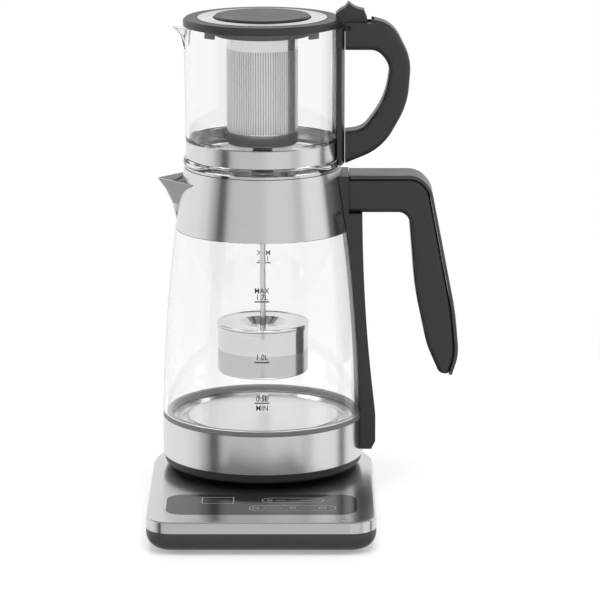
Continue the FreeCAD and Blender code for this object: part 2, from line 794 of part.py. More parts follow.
def make_kettle_bottom():
    well = s.connector_hole
    floor = s.cup_bottom + s.cup_wall
    body = new_body("kettle_cup")
    revolve(body, "cup", [
        (well, s.cup_bottom),
        (s.cup_foot_radius, s.cup_bottom, -6),
        (s.cup_low_radius, s.cup_bottom + s.cup_low_height),
        (s.cup_top_radius, s.cup_top),
        (s.cup_top_radius - s.cup_wall, s.cup_top),
        (s.cup_low_radius - s.cup_wall, floor + s.cup_low_height / 2),
        (s.cup_foot_radius - s.cup_wall, floor),
        (well + s.cup_wall, floor),
        (well + s.cup_wall, s.cup_bottom + s.well_height),
        (well, s.cup_bottom + s.well_height),
    ])
    body = new_body("kettle_ring")
    inner = s.ring_radius - s.ring_skin
    lip = s.ring_radius - s.ring_lip
    ring_bottom = s.cup_top + s.fit_gap
    revolve(body, "ring", [
        (inner, ring_bottom),
        (s.ring_radius, ring_bottom),
        (s.ring_radius, s.ring_top),
        (lip, s.ring_top),
        (lip, s.ring_top - s.ring_skin),
        (inner, s.ring_top - s.ring_skin),
    ])
    body = new_body("glass_seal")
    seal_bottom = s.ring_top + s.fit_gap / 3
    revolve(body, "seal", [
        (lip - s.seal_lip, seal_bottom),
        (s.ring_radius - s.fit_gap, seal_bottom),
        (s.ring_radius - s.fit_gap, seal_bottom + s.seal_height),
        (lip, seal_bottom + s.seal_height),
        (lip, seal_bottom + s.seal_lip),
        (lip - s.seal_lip, seal_bottom + s.seal_lip),
    ])
    body = new_body("heating_floor")
    top, skin = s.floor_top, s.floor_skin
    moat = top - s.floor_moat_depth
    revolve(body, "floor", [
        (0, top - skin),
        (s.floor_radius - skin / 2, top - skin),
        (s.floor_radius + skin / 2, moat - skin),
        (s.floor_moat + skin, moat - skin),
        (s.floor_moat + skin * 2, top - skin),
        (lip - s.fit_gap, top - skin),
        (lip - s.fit_gap, top),
        (s.floor_moat + skin, top),
        (s.floor_moat, moat),
        (s.floor_radius + skin * 1.5, moat),
        (s.floor_radius + skin / 2, top),
        (0, top),
    ])
    hole = new_sketch(body, "floor_hole_plan", "XY_Plane", moat - skin)
    draw_circle(hole, 0, s.sensor_offset, s.sensor_radius + s.screw_clearance)
    extrude(body, "floor_hole", hole, s.floor_moat_depth + skin * 3, "Pocket", reverse=True)

    body = new_body("heating_element")
    wire = s.element_wire
    element_top = top - skin
    revolve(body, "element", [
        (s.element_radius - wire, element_top - wire * 2),
        (s.element_radius + wire, element_top - wire * 2),
        (s.element_radius + wire, element_top),
        (s.element_radius - wire, element_top),
    ])
    body = new_body("temperature_probe")
    plan = new_sketch(body, "probe_plan", "XY_Plane", top + s.sensor_proud - s.sensor_length)
    draw_circle(plan, 0, s.sensor_offset, s.sensor_radius)
    tip = extrude(body, "probe_body", plan, s.sensor_length)
    probe_top = (top + s.sensor_proud).value
    round_edges(body, "probe_tip", tip, s.sensor_radius / 4, lambda e: lies_at(e, probe_top))

    body = new_body("kettle_coupler")
    gap = s.fit_gap
    coupler_bottom = cover_top + s.connector_flange_height + gap * 2
    turret_top = cover_top + s.turret_height
    coupler_top = s.cup_bottom + s.well_height
    rib_floor = turret_top - s.turret_slot_depth
    revolve(body, "coupler", [
        (s.turret_radius + gap, coupler_bottom),
        (well - gap, coupler_bottom),
        (well - gap, coupler_top),
        (s.contact_pin_radius + gap, coupler_top),
        (s.contact_pin_radius + gap, turret_top + gap),
        (s.turret_slot_inner + gap, turret_top + gap),
        (s.turret_slot_inner + gap, rib_floor + gap * 2),
        (s.turret_slot_outer - gap, rib_floor + gap * 2),
        (s.turret_slot_outer - gap, turret_top + gap),
        (s.turret_radius + gap, turret_top + gap),
    ])


# Kettle glass: blown wall with a slight belly, necked in where the collar grips it


def glass_bottom():
    return s.ring_top + s.fit_gap / 3 + s.seal_height + s.fit_gap / 3


def collar_radius(z):
    """The collar's outer radius at a height: a straight cone."""
    fall = (s.collar_low_radius - s.collar_top_radius) / (s.collar_top - s.collar_bottom)
    return s.collar_low_radius - fall * (z - s.collar_bottom)


def make_kettle_glass():
    body = new_body("kettle_glass")
    wall = s.glass_wall
    shoulder = s.collar_bottom - s.fit_gap
    neck_low = collar_radius(s.collar_bottom) - s.collar_skin - s.fit_gap
    neck_top = s.collar_bottom + s.glass_neck
    neck_high = collar_radius(neck_top) - s.collar_skin - s.fit_gap
    revolve(body, "glass", [
        (s.glass_foot_radius - wall, glass_bottom()),
        (s.glass_foot_radius, glass_bottom(), -s.glass_bow),
        (s.collar_low_radius, shoulder),
        (neck_low, shoulder + s.fit_gap / 2),
        (neck_high, neck_top),
        (neck_high - wall / 1.5, neck_top),
        (s.collar_low_radius - wall, shoulder, s.glass_bow - wall),
    ])


# Collar: spun steel cone with a pulled V spout, a rolled mouth and a strainer behind the spout


def spout_section(body, name, height, half, tip, skin):
    """One level of the spout: two straight cheeks that meet in a narrow nose."""
    sk = new_sketch(body, name, "XY_Plane", height)
    root = s.collar_mouth - s.collar_skin * 2
    nose = s.spout_nose - skin / 2
    draw_loop(sk, [
        (-root, half - skin * 1.2),
        (-root, -(half - skin * 1.2)),
        (-(tip - s.spout_nose * 0.5 - skin), -nose),
        (-(tip - skin), 0),
        (-(tip - s.spout_nose * 0.5 - skin), nose),
    ])
    return sk


def spout_loft(body, name, kind, skin, levels):
    sections = [
        spout_section(body, "%s_level_%d" % (name, i), z, half, tip, skin)
        for i, (z, half, tip) in enumerate(levels)
    ]
    loft = body.newObject("PartDesign::" + kind, name)
    loft.Profile = (sections[0], [""])
    loft.Sections = [(sk, [""]) for sk in sections[1:]]
    loft.Ruled = True
    return loft


def between(lower, upper, share):
    """A level part of the way from one level to the next."""
    return tuple(a + (b - a) * share for a, b in zip(lower, upper))


def make_collar():
    body = new_body("kettle_collar")
    levels = [
        (s.spout_low, s.spout_low_half, s.spout_low_tip),
        (s.spout_mid, s.spout_mid_half, s.spout_mid_tip),
        (s.spout_high, s.spout_high_half, s.spout_high_tip),
        (s.spout_rim, s.spout_rim_half, s.spout_tip),
    ]
    spout_loft(body, "spout", "AdditiveLoft", Size(0, "0"), levels)
    skin = s.collar_skin
    inner_top = s.collar_top - skin
    revolve(body, "collar_inside", [
        (0, s.collar_bottom - 5),
        (s.collar_low_radius - skin, s.collar_bottom - 5),
        (s.collar_low_radius - skin, s.collar_bottom),
        (collar_radius(inner_top) - skin, inner_top),
        (0, inner_top),
    ], "Groove")
    revolve(body, "collar_wall", [
        (s.collar_low_radius - skin, s.collar_bottom),
        (s.collar_low_radius, s.collar_bottom),
        (s.collar_top_radius, s.collar_top),
        (s.collar_mouth, s.collar_top),
        (s.collar_mouth, inner_top),
        (collar_radius(inner_top) - skin, inner_top),
    ])
    open_levels = [between(levels[0], levels[1], s.channel_start)] + levels[1:]
    spout_loft(body, "spout_channel", "SubtractiveLoft", s.spout_skin, open_levels)


def make_strainer():
    body = new_body("spout_strainer")
    low, high = s.spout_low + s.fit_gap * 10, s.spout_rim
    outer_low = collar_radius(low) - s.collar_skin - s.fit_gap
    outer_high = collar_radius(high) - s.collar_skin - s.fit_gap
    revolve(body, "strainer", [
        (-outer_low, low),
        (-(outer_low - s.strainer_skin), low),
        (-(outer_high - s.strainer_skin), high),
        (-outer_high, high),
    ], angle=62)
    slots = new_sketch(body, "strainer_slots_plan", "YZ_Plane")
    pitch = s.strainer_slot_width * 2.6
    middle = (s.strainer_slots - 1) / 2
    for i in range(int(s.strainer_slots.value)):
        y = pitch * i - pitch * middle
        draw_loop(slots, box_loop(
            y - s.strainer_slot_width / 2, y + s.strainer_slot_width / 2,
            low + s.strainer_slot_width * 2, high - s.strainer_slot_width * 2,
        ))
    extrude(body, "strainer_cuts", slots, s.collar_low_radius * 3, "Pocket", symmetric=True)


# Kettle handle: moulded grip open at its lower end, its cover strip, and the spine on the glass


def grip_outer(inset):
    """The corners of the grip's outer line, from its root at the collar to its lower end."""
    return [
        (s.grip_root, s.arm_top - inset),
        (s.grip_outer_1x, s.arm_top - inset),
        (s.grip_outer_2x - inset * 0.75, s.grip_outer_2z - inset * 0.66),
        (s.grip_outer_3x - inset, s.grip_outer_3z),
        (s.grip_outer_4x - inset, s.grip_outer_4z),
        (s.grip_outer_5x - inset, s.grip_outer_5z),
    ]


def outer_bends(corners, inset):
    bends = (s.grip_outer_bend_1, s.grip_outer_bend_2, s.grip_outer_bend_3, s.grip_outer_bend_4)
    return [(x, z, bend - inset) for (x, z), bend in zip(corners[1:5], bends)]


def make_handle():
    body = new_body("kettle_handle")
    arm_bottom = s.arm_top - s.arm_depth
    seam = s.grip_cover + s.fit_gap / 3
    half = s.grip_half_width
    outer = grip_outer(seam)
    inner = [
        (s.grip_inner_5x, s.grip_inner_5z),
        (s.grip_inner_4x, s.grip_inner_4z),
        (s.grip_inner_3x, s.grip_inner_3z),
        (s.grip_inner_2x, arm_bottom),
    ]
    grip = side_pad(body, "grip", outer + inner + [(s.grip_root, arm_bottom)], half)
    bends = (s.grip_inner_bend_5, s.grip_inner_bend_4, s.grip_inner_bend_3, s.grip_inner_bend_2)
    corners = outer_bends(outer, seam) + [outer[5] + (s.grip_outer_bend_5,)]
    corners += [(x, z, bend) for (x, z), bend in zip(inner, bends)]
    grip = round_corners(body, "grip_corner", grip, corners)
    root = s.grip_root.value + 1
    round_edges(
        body, "grip_edges", grip, s.grip_edge,
        lambda e: is_side_edge(e, half) and e.BoundBox.XMax > root + 1
        and is_inner_side(e.CenterOfMass),
    )

    body = new_body("handle_cover")
    outer = grip_outer(Size(0, "0"))
    inner = grip_outer(s.grip_cover)
    cover = side_pad(body, "cover_strip", outer + inner[::-1], half)
    cover = round_corners(body, "cover_outer", cover, outer_bends(outer, Size(0, "0")))
    cover = round_corners(body, "cover_inner", cover, outer_bends(inner, s.grip_cover))
    round_edges(
        body, "cover_strip_edges", cover, s.cover_edge_round,
        lambda e: is_side_edge(e, half) and is_cover_outside(e.CenterOfMass),
    )

    body = new_body("kettle_spine")
    gap = s.fit_gap
    back_top = s.arm_top
    strip = side_pad(body, "spine_strip", [
        (s.grip_root - s.collar_top_radius / 2, s.spine_bottom),
        (s.spine_back_low - s.spine_thickness, s.spine_bottom),
        (s.spine_back_low, s.spine_bottom + s.spine_thickness * 2),
        (s.spine_back_low, s.spine_back_z, s.glass_bow),
        (s.spine_back_top, s.arm_top - s.arm_depth - gap),
        (s.grip_root - gap, s.arm_top - s.arm_depth - gap),
        (s.grip_root - gap, back_top),
        (s.grip_root - s.collar_top_radius / 2, back_top),
    ], s.spine_half_width)
    glass_foot = glass_bottom()
    revolve(body, "spine_seat", [
        (0, s.cup_bottom),
        (s.ring_radius + gap, s.cup_bottom),
        (s.ring_radius + gap, glass_foot),
        (s.glass_foot_radius + gap, glass_foot, -(s.glass_bow + gap)),
        (s.collar_low_radius + gap, s.collar_bottom),
        (s.collar_top_radius + gap, s.collar_top),
        (0, s.collar_top),
    ], "Groove")


def to_outer_line(point):
    """How far a point in the side view lies from the grip's outer line."""
    line = [(a.value, b.value) for a, b in grip_outer(Size(0, "0"))]
    distances = []
    for (x0, z0), (x1, z1) in zip(line, line[1:]):
        dx, dz = x1 - x0, z1 - z0
        along = ((point.x - x0) * dx + (point.z - z0) * dz) / (dx * dx + dz * dz)
        along = min(max(along, 0), 1)
        distances.append(math.hypot(point.x - x0 - along * dx, point.z - z0 - along * dz))
    return min(distances)


def is_inner_side(point):
    return to_outer_line(point) > 14


def is_cover_outside(point):
    return to_outer_line(point) < s.grip_cover.value * 0.55 and point.z > s.grip_outer_5z.value + 2


# Kettle lid: a pressed dish with steam vents that carries the teapot, with its knob and rod


def make_kettle_lid():
    flange_bottom = s.collar_top + s.fit_gap
    flange_top = flange_bottom + s.lid_flange_height
    dish_floor = flange_top - s.lid_depth
    skin = s.lid_skin
    bore = s.rod_radius + s.rod_clearance
    body = new_body("kettle_lid")
    dish = revolve(body, "lid_dish", [
        (bore, dish_floor - skin),
        (s.lid_wall_radius, dish_floor - skin),
        (s.lid_wall_radius, flange_bottom),
        (s.lid_flange_radius, flange_bottom),
        (s.lid_flange_radius, flange_top),
        (s.lid_wall_radius - skin, flange_top),
        (s.lid_wall_radius - skin, dish_floor),
        (bore, dish_floor),
    ])
    vent = new_sketch(body, "vent_plan", "XY_Plane", dish_floor - skin)
    draw_circle(vent, s.vent_circle, 0, s.vent_radius)
    cut = extrude(body, "vent", vent, skin * 2, "Pocket", reverse=True)
    repeat(body, "vents", cut, s.vent_count)

    body = new_body("lid_knob")
    knob_top = dish_floor + s.knob_height
    waist = s.knob_radius * 0.6
    revolve(body, "knob", [
        (bore, dish_floor),
        (waist + 1, dish_floor),
        (waist, dish_floor + s.knob_height / 3),
        (s.knob_radius, dish_floor + s.knob_height * 0.6),
        (s.knob_radius, knob_top - 1),
        (s.knob_radius - 1, knob_top),
        (bore, knob_top),
    ])

    hub_bottom = s.basket_top - s.basket_dimple_depth - s.basket_skin * 1.5
    body = new_body("basket_rod")
    plan = new_sketch(body, "rod_plan", "XY_Plane", hub_bottom)
    draw_circle(plan, 0, 0, s.rod_radius)
    extrude(body, "rod", plan, knob_top - hub_bottom)


# Brewing basket: cap on the rod, and a push-on can whose lower part is pierced


def make_basket():
    skin = s.basket_skin
    bore = s.rod_radius + s.rod_clearance
    top = s.basket_top
    plate = top - skin
    dimple = plate - s.basket_dimple_depth
    cap_bottom = top - s.basket_cap_height
    plug = s.basket_radius - skin - s.fit_gap
    body = new_body("basket_cap")
    revolve(body, "cap", [
        (bore, dimple - skin),
        (s.basket_dimple_floor, dimple - skin),
        (s.basket_dimple, plate - skin),
        (plug - skin, plate - skin),
        (plug - skin, cap_bottom - s.basket_plug),
        (plug, cap_bottom - s.basket_plug),
        (plug, cap_bottom),
        (s.basket_rim, cap_bottom),
        (s.basket_rim, top - skin, -skin * 1.2),
        (s.basket_rim - skin, top),
        (s.basket_rim - skin * 2.5, plate),
        (s.basket_dimple + skin, plate),
        (s.basket_dimple_floor + skin / 2, dimple),
        (bore * 2, dimple),
        (bore * 2, dimple + skin * 2),
        (bore, dimple + skin * 2),
    ])
    can_top = cap_bottom - s.fit_gap / 2
    inner = s.basket_radius - skin
    body = new_body("basket_can")
    revolve(body, "can", [
        (inner, s.basket_strainer_top),
        (s.basket_radius, s.basket_strainer_top),
        (s.basket_radius, can_top - s.basket_bead),
        (s.basket_rim, can_top - s.basket_bead + skin / 2),
        (s.basket_rim, can_top - skin / 2),
        (s.basket_radius, can_top),
        (inner, can_top),
    ])
    body = new_body("basket_strainer")
    revolve(body, "strainer_cup", [
        (0, s.basket_bottom),
        (inner - skin, s.basket_bottom, -skin * 3),
        (s.basket_radius, s.basket_bottom + skin * 2),
        (s.basket_radius, s.basket_strainer_top),
        (inner, s.basket_strainer_top),
        (inner, s.basket_bottom + skin * 3),
        (inner - skin, s.basket_bottom + skin),
        (0, s.basket_bottom + skin),
    ])
    slot_low = s.basket_strainer_top - s.basket_slot_height - s.basket_bead / 2
    slot = new_sketch(body, "basket_slot_plan", "YZ_Plane")
    half = s.basket_slot_width / 2
    draw_loop(slot, box_loop(-half, half, slot_low, slot_low + s.basket_slot_height))
    cut = extrude(body, "basket_slot", slot, s.basket_rim * 1.2, "Pocket", reverse=True)
    repeat(body, "basket_slots", cut, s.basket_slots)


# Teapot glass with its pouring lip, and the steel band round its foot


def pot_band_bottom():
    return s.pot_foot_bottom + s.pot_bead_height + s.fit_gap


def lip_loft(body, name, kind, skin, levels):
    sections = []
    for i, (z, half, tip) in enumerate(levels):
        sk = new_sketch(body, "%s_level_%d" % (name, i), "XY_Plane", z)
        root = s.pot_rim - s.pot_wall * 3
        draw_loop(sk, [
            (-root, half + s.lip_nose - skin),
            (-root, -(half + s.lip_nose - skin)),
            (-(s.pot_rim - s.pot_wall / 2 - skin), -(half - skin)),
            (-(tip - s.lip_nose / 2 - skin), -(half * 0.5 - skin / 2)),
            (-(tip - skin), 0),
            (-(tip - s.lip_nose / 2 - skin), half * 0.5 - skin / 2),
            (-(s.pot_rim - s.pot_wall / 2 - skin), half - skin),
        ])
        sections.append(sk)
    loft = body.newObject("PartDesign::" + kind, name)
    loft.Profile = (sections[0], [""])
    loft.Sections = [(sk, [""]) for sk in sections[1:]]
    loft.Ruled = True
    return loft


def make_teapot_glass():
    body = new_body("teapot_glass")
    wall = s.pot_wall
    band_top = pot_band_bottom() + s.pot_band_height
    belly_z = s.pot_belly_z
    lip_levels = [
        (s.lip_low, s.lip_low_half, s.lip_low_tip),
        (s.lip_mid, s.lip_mid_half, s.lip_mid_tip),
        (s.pot_top - s.fit_gap * 5, s.lip_top_half, s.lip_tip),
    ]
    lip_loft(body, "lip", "AdditiveLoft", Size(0, "0"), lip_levels)
    revolve(body, "pot_inside", [
        (0, s.pot_floor_top),
        (s.pot_waist - wall, s.pot_floor_top),
        (s.pot_waist - wall, band_top),
        (s.pot_low_radius - wall, band_top + wall),
        (s.pot_belly - wall, belly_z),
        (s.pot_rim - wall, s.pot_top + 1),
        (0, s.pot_top + 1),
    ], "Groove")
    bead = s.pot_bead_radius
    foot = s.pot_foot_bottom
    under = s.pot_floor_top - s.pot_floor
    revolve(body, "pot_wall", [
        (0, under),
        (bead - s.pot_foot_width - 1, under),
        (bead - s.pot_foot_width, foot),
        (bead - 1.2, foot),
        (bead, foot + 1.4),
        (bead, foot + s.pot_bead_height - 1.6),
        (bead - 1, foot + s.pot_bead_height),
        (s.pot_waist, foot + s.pot_bead_height),
        (s.pot_waist, band_top),
        (s.pot_low_radius, band_top + s.fit_gap),
        (s.pot_belly, belly_z),
        (s.pot_rim, s.pot_top),
        (s.pot_rim - wall, s.pot_top),
        (s.pot_belly - wall, belly_z),
        (s.pot_low_radius - wall, band_top + wall),
        (s.pot_waist - wall, band_top),
        (s.pot_waist - wall, s.pot_floor_top + wall),
        (s.pot_waist - wall * 2, s.pot_floor_top),
        (0, s.pot_floor_top),
    ])
    open_levels = [between(lip_levels[0], lip_levels[1], s.channel_start)] + lip_levels[1:]
    lip_loft(body, "lip_channel", "SubtractiveLoft", wall / 2, open_levels)

    body = new_body("teapot_band")
    inner = s.pot_waist + s.fit_gap
    low = pot_band_bottom()
    revolve(body, "band", [
        (inner, low),
        (inner + s.pot_band_skin, low),
        (inner + s.pot_band_skin, band_top - s.fit_gap),
        (inner, band_top - s.fit_gap),
    ])


# Teapot handle: spine on the glass, C-shaped grip, hinge pin


def make_teapot_handle():
    gap = s.fit_gap
    foot = s.pot_foot_bottom
    body = new_body("teapot_spine")
    spine_top = s.pot_top - gap * 2
    side_pad(body, "pot_spine_strip", [
        (s.pot_waist / 2, s.pot_handle_bottom),
        (s.pot_spine_back, s.pot_handle_bottom),
        (s.pot_spine_back, spine_top),
        (s.pot_waist / 2, spine_top),
    ], s.pot_spine_half_width)
    bead_top = foot + s.pot_bead_height
    revolve(body, "pot_spine_seat", [
        (0, foot - 1),
        (s.pot_bead_radius + gap, foot - 1),
        (s.pot_bead_radius + gap, bead_top + gap),
        (s.pot_belly + gap, bead_top + gap),
        (s.pot_belly + gap, s.pot_top + 1),
        (0, s.pot_top + 1),
    ], "Groove")
    back = s.pot_spine_back
    revolve(body, "pot_spine_back", [
        (back, foot - 1),
        (back * 1.5, foot - 1),
        (back * 1.5, s.pot_top + 1),
        (back, s.pot_top + 1),
    ], "Groove")

    notch = s.lever_half_width + s.slot_clearance
    low = s.hinge_z - s.knuckle_radius - s.slot_clearance
    side_pad(body, "pot_spine_notch", box_loop(
        s.pot_waist / 2, s.pot_spine_back + 1, low, s.pot_top + 1,
    ), notch, "Pocket")

    body = new_body("teapot_handle")
    root = s.pot_handle_root
    half = s.pot_grip_half_width
    outer = [
        (s.pot_slot_end, s.pot_handle_crown),
        (s.pot_outer_1x, s.pot_outer_1z),
        (s.pot_outer_2x, s.pot_outer_2z),
        (s.pot_outer_3x, s.pot_outer_3z),
        (s.pot_outer_4x, s.pot_outer_4z),
    ]
    inner = [
        (s.pot_inner_4x, s.pot_inner_4z),
        (s.pot_inner_3x, s.pot_inner_3z),
        (s.pot_inner_2x, s.pot_inner_2z),
        (s.pot_inner_1x, s.pot_inner_top),
    ]
    grip = side_pad(body, "pot_grip", [
        (root, s.pot_handle_top), (s.pot_slot_end, s.pot_handle_top),
    ] + outer + [
        (root, s.pot_handle_bottom), (root, s.pot_inner_bottom),
    ] + inner + [(root, s.pot_inner_top)], half)
    outer_radii = (s.pot_outer_bend_1, s.pot_outer_bend_2, s.pot_outer_bend_3, s.pot_outer_bend_4)
    inner_radii = (s.pot_inner_bend_4, s.pot_inner_bend_3, s.pot_inner_bend_2, s.pot_inner_bend_1)
    corners = [(x, z, radius) for (x, z), radius in zip(outer[1:], outer_radii)]
    corners += [(x, z, radius) for (x, z), radius in zip(inner, inner_radii)]
    grip = round_corners(body, "pot_grip_corner", grip, corners)
    limit = s.pot_slot_end.value + 0.5
    round_edges(
        body, "pot_grip_edges", grip, s.pot_grip_edge,
        lambda e: is_side_edge(e, half) and e.CenterOfMass.x > limit,
    )
    reach = s.lever_tip_height + s.slot_clearance
    hx, hz = s.hinge_x, s.hinge_z
    knuckle = s.knuckle_radius + s.slot_clearance
    side_pad(body, "lever_slot", [
        (hx - reach, hz - knuckle),
        (hx + 1, hz - knuckle),
        (hx + reach * 0.084, hz - reach * 0.325),
        (hx + reach * 0.262, hz - reach * 0.743),
        (hx + reach * 0.545, hz - reach * 0.7),
        (hx + reach * 0.832, hz - reach * 0.54),
        (hx + reach * 0.995, hz - reach * 0.262),
        (hx + reach * 1.01, hz),
        (hx + reach * 1.01, hz + reach),
        (hx - reach, hz + reach),
    ], s.lever_half_width + s.slot_clearance, "Pocket")
    bore = new_sketch(body, "pin_bore_plan")
    draw_circle(bore, hx, hz, s.hinge_pin_radius)
    extrude(body, "pin_bore", bore, s.pot_grip_half_width * 2 + 2, "Pocket", symmetric=True)

    body = new_body("hinge_pin")
    plan = new_sketch(body, "pin_plan")
    draw_circle(plan, hx, hz, s.hinge_pin_radius)
    extrude(body, "pin", plan, s.pot_grip_half_width * 2, symmetric=True)


# Teapot lid: moulded ring with the thumb lever, and its dished steel trim


def make_teapot_lid():
    bottom = s.pot_lid_bottom
    top = bottom + s.pot_lid_height
    wall = s.pot_lid_wall
    hole = s.pot_lid_hole
    trim = s.lid_ring_radius + s.fit_gap
    recess = top - s.lid_ring_skin - s.lid_ring_dish
    under = recess - wall
    body = new_body("teapot_lid")
    ring = revolve(body, "lid_ring_body", [
        (hole, bottom + 0.2),
        (hole + wall, bottom + 0.2),
        (hole + wall, under),
        (s.pot_lid_radius - wall, under),
        (s.pot_lid_radius - wall, bottom),
        (s.pot_lid_radius, bottom),
        (s.pot_lid_radius, top - 1.4, 2.4),
        (s.pot_lid_radius - 1.6, top),
        (trim, top),
        (trim, recess),
        (hole, recess),
    ])
    hx, hz, r = s.hinge_x, s.hinge_z, s.knuckle_radius
    tip = hz + s.lever_tip_height
    side_pad(body, "lever", [
        (s.pot_lid_radius - wall * 2, top - 1.2),
        (s.pot_lid_radius - wall * 2, bottom + 2.2),
        (s.pot_lid_radius - wall, bottom + 2.2),
        (hx - r * 0.9, hz + r * 0.4),
        (hx, hz + r * 0.2),
        (hx + s.lever_tip_height * 0.3, hz + r * 0.4),
        (s.hinge_x + s.lever_tip_height * 0.76, s.pot_handle_top + s.fit_gap),
        (s.hinge_x + s.lever_tip_height * 0.745, hz + s.lever_tip_height * 0.4, 16),
        (s.hinge_x + s.lever_tip_height * 0.63, hz + s.lever_tip_height * 0.7, 18),
        (hx, tip),
        (hx - 3.3, tip - 4, -14),
        (hx - 10, tip - 9),
    ], s.lever_half_width)
    knuckle = new_sketch(body, "knuckle_plan")
    draw_circle(knuckle, hx, hz, r)
    extrude(body, "knuckle", knuckle, s.lever_half_width * 2, symmetric=True)
    bore = new_sketch(body, "knuckle_bore_plan")
    draw_circle(bore, hx, hz, s.hinge_pin_radius + s.hinge_clearance)
    extrude(body, "knuckle_bore", bore, s.lever_half_width * 2 + 2, "Pocket", symmetric=True)

    body = new_body("lid_trim_ring")
    inner = hole + s.fit_gap
    revolve(body, "trim", [
        (inner, recess),
        (s.lid_ring_radius, recess),
        (s.lid_ring_radius, top + s.fit_gap),
        (s.lid_ring_radius - 1, top + s.fit_gap),
        ((s.lid_ring_radius + inner) / 2, top - s.lid_ring_dish),
        (inner + 1, top + s.fit_gap),
        (inner, top + s.fit_gap),
    ])


# Infuser: carrier in the pot's mouth, cap in the lid's hole, neck, pierced tube and bottom cup


def make_infuser():
    body = new_body("infuser_carrier")
    top = s.pot_top
    arm_bottom = top - s.carrier_arm_height
    mouth = s.pot_rim - s.pot_wall - s.fit_gap
    revolve(body, "carrier_ring", [
        (s.carrier_ring_inner - s.carrier_lip, s.carrier_bottom),
        (s.carrier_ring_outer, s.carrier_bottom),
        (s.carrier_ring_outer, top),
        (s.carrier_ring_inner, top),
        (s.carrier_ring_inner, s.carrier_bottom + s.carrier_lip),
        (s.carrier_ring_inner - s.carrier_lip, s.carrier_bottom + s.carrier_lip),
    ])
    for i, angle in enumerate((45, 135, 225, 315)):
        turn = math.radians(angle)
        along = (math.cos(turn), math.sin(turn))
        across = (-along[1], along[0])
        half = s.carrier_arm_half
        reach_in = s.carrier_ring_outer - s.fit_gap
        reach_out = mouth - 0.5
        for part, start, z, height in (
            ("arm", reach_in, arm_bottom, s.carrier_arm_height),
            ("tab", reach_out - s.carrier_tab_width, top - s.carrier_tab_height, s.carrier_tab_height),
        ):
            plan = new_sketch(body, "carrier_%s_%d_plan" % (part, i), "XY_Plane", z)
            draw_loop(plan, [
                (start * along[0] - half * across[0], start * along[1] - half * across[1]),
                (reach_out * along[0] - half * across[0], reach_out * along[1] - half * across[1]),
                (reach_out * along[0] + half * across[0], reach_out * along[1] + half * across[1]),
                (start * along[0] + half * across[0], start * along[1] + half * across[1]),
            ])
            extrude(body, "carrier_%s_%d" % (part, i), plan, height)

    seat = s.carrier_bottom + s.carrier_lip + s.fit_gap / 2
    skin = s.infuser_skin
    radius = s.infuser_radius
    body = new_body("infuser_neck")
    revolve(body, "neck", [
        (radius - skin, s.infuser_mesh_top),
        (radius, s.infuser_mesh_top),
        (radius, seat),
        (s.infuser_flange, seat),
        (s.infuser_flange, seat + skin),
        (radius - skin, seat + skin),
    ])
    body = new_body("infuser_mesh")
    revolve(body, "mesh_tube", [
        (radius - skin, s.infuser_mesh_bottom),
        (radius, s.infuser_mesh_bottom),
        (radius, s.infuser_mesh_top),
        (radius - skin, s.infuser_mesh_top),
    ])
    slot = new_sketch(body, "mesh_slot_plan", "YZ_Plane")
    half = s.infuser_slot_width / 2
    margin = s.infuser_slot_width
    draw_loop(slot, box_loop(
        -half, half, s.infuser_mesh_bottom + margin, s.infuser_mesh_top - margin,
    ))
    cut = extrude(body, "mesh_slot", slot, radius * 1.2, "Pocket", reverse=True)
    repeat(body, "mesh_slots", cut, s.infuser_slots)

    body = new_body("infuser_bottom")
    revolve(body, "bottom_cup", [
        (0, s.infuser_bottom),
        (radius - skin * 3, s.infuser_bottom, -skin * 4),
        (radius, s.infuser_bottom + skin * 3),
        (radius, s.infuser_mesh_bottom),
        (radius - skin, s.infuser_mesh_bottom),
        (radius - skin, s.infuser_bottom + skin * 3),
        (radius - skin * 3, s.infuser_bottom + skin),
        (0, s.infuser_bottom + skin),
    ])

    body = new_body("infuser_cap")
    cap_bottom = s.pot_top + s.fit_gap
    plug = s.carrier_ring_inner - s.fit_gap
    cap = s.infuser_cap_radius
    cap_top = s.infuser_cap_top
    revolve(body, "cap", [
        (0, cap_bottom + 1.2),
        (plug - 1.8, cap_bottom + 1.2),
        (plug - 1.8, seat + skin + s.fit_gap / 3),
        (plug, seat + skin + s.fit_gap / 3),
        (plug, cap_bottom),
        (cap, cap_bottom),
        (cap, cap_top - 1, 1.2),
        (cap - 1, cap_top),
        (0, cap_top),
    ])


make_tray()
make_carrier()
make_cover()
make_panel()
make_power_board()
make_connector()
make_gland()
make_fasteners()
make_kettle_bottom()
make_kettle_glass()
make_collar()
make_strainer()
make_handle()
make_kettle_lid()
make_basket()
make_teapot_glass()
make_teapot_handle()
make_teapot_lid()
make_infuser()

doc.recompute()
failed = [o.Label for o in doc.Objects if "Invalid" in o.State or "Error" in o.State]
if failed:
    raise RuntimeError("failed: " + ", ".join(failed))
for node in nodes:
    shape = node.Shape
    if shape.isNull() or not shape.isValid() or not shape.Solids:
        raise RuntimeError("no valid solid: " + node.Label)
    print(node.Label, len(shape.Solids), round(shape.Volume), [round(v, 1) for v in (
        shape.BoundBox.XMin, shape.BoundBox.YMin, shape.BoundBox.ZMin,
        shape.BoundBox.XMax, shape.BoundBox.YMax, shape.BoundBox.ZMax)])
    shape.exportStep("parts/%s.step" % node.Label)
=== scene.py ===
import math

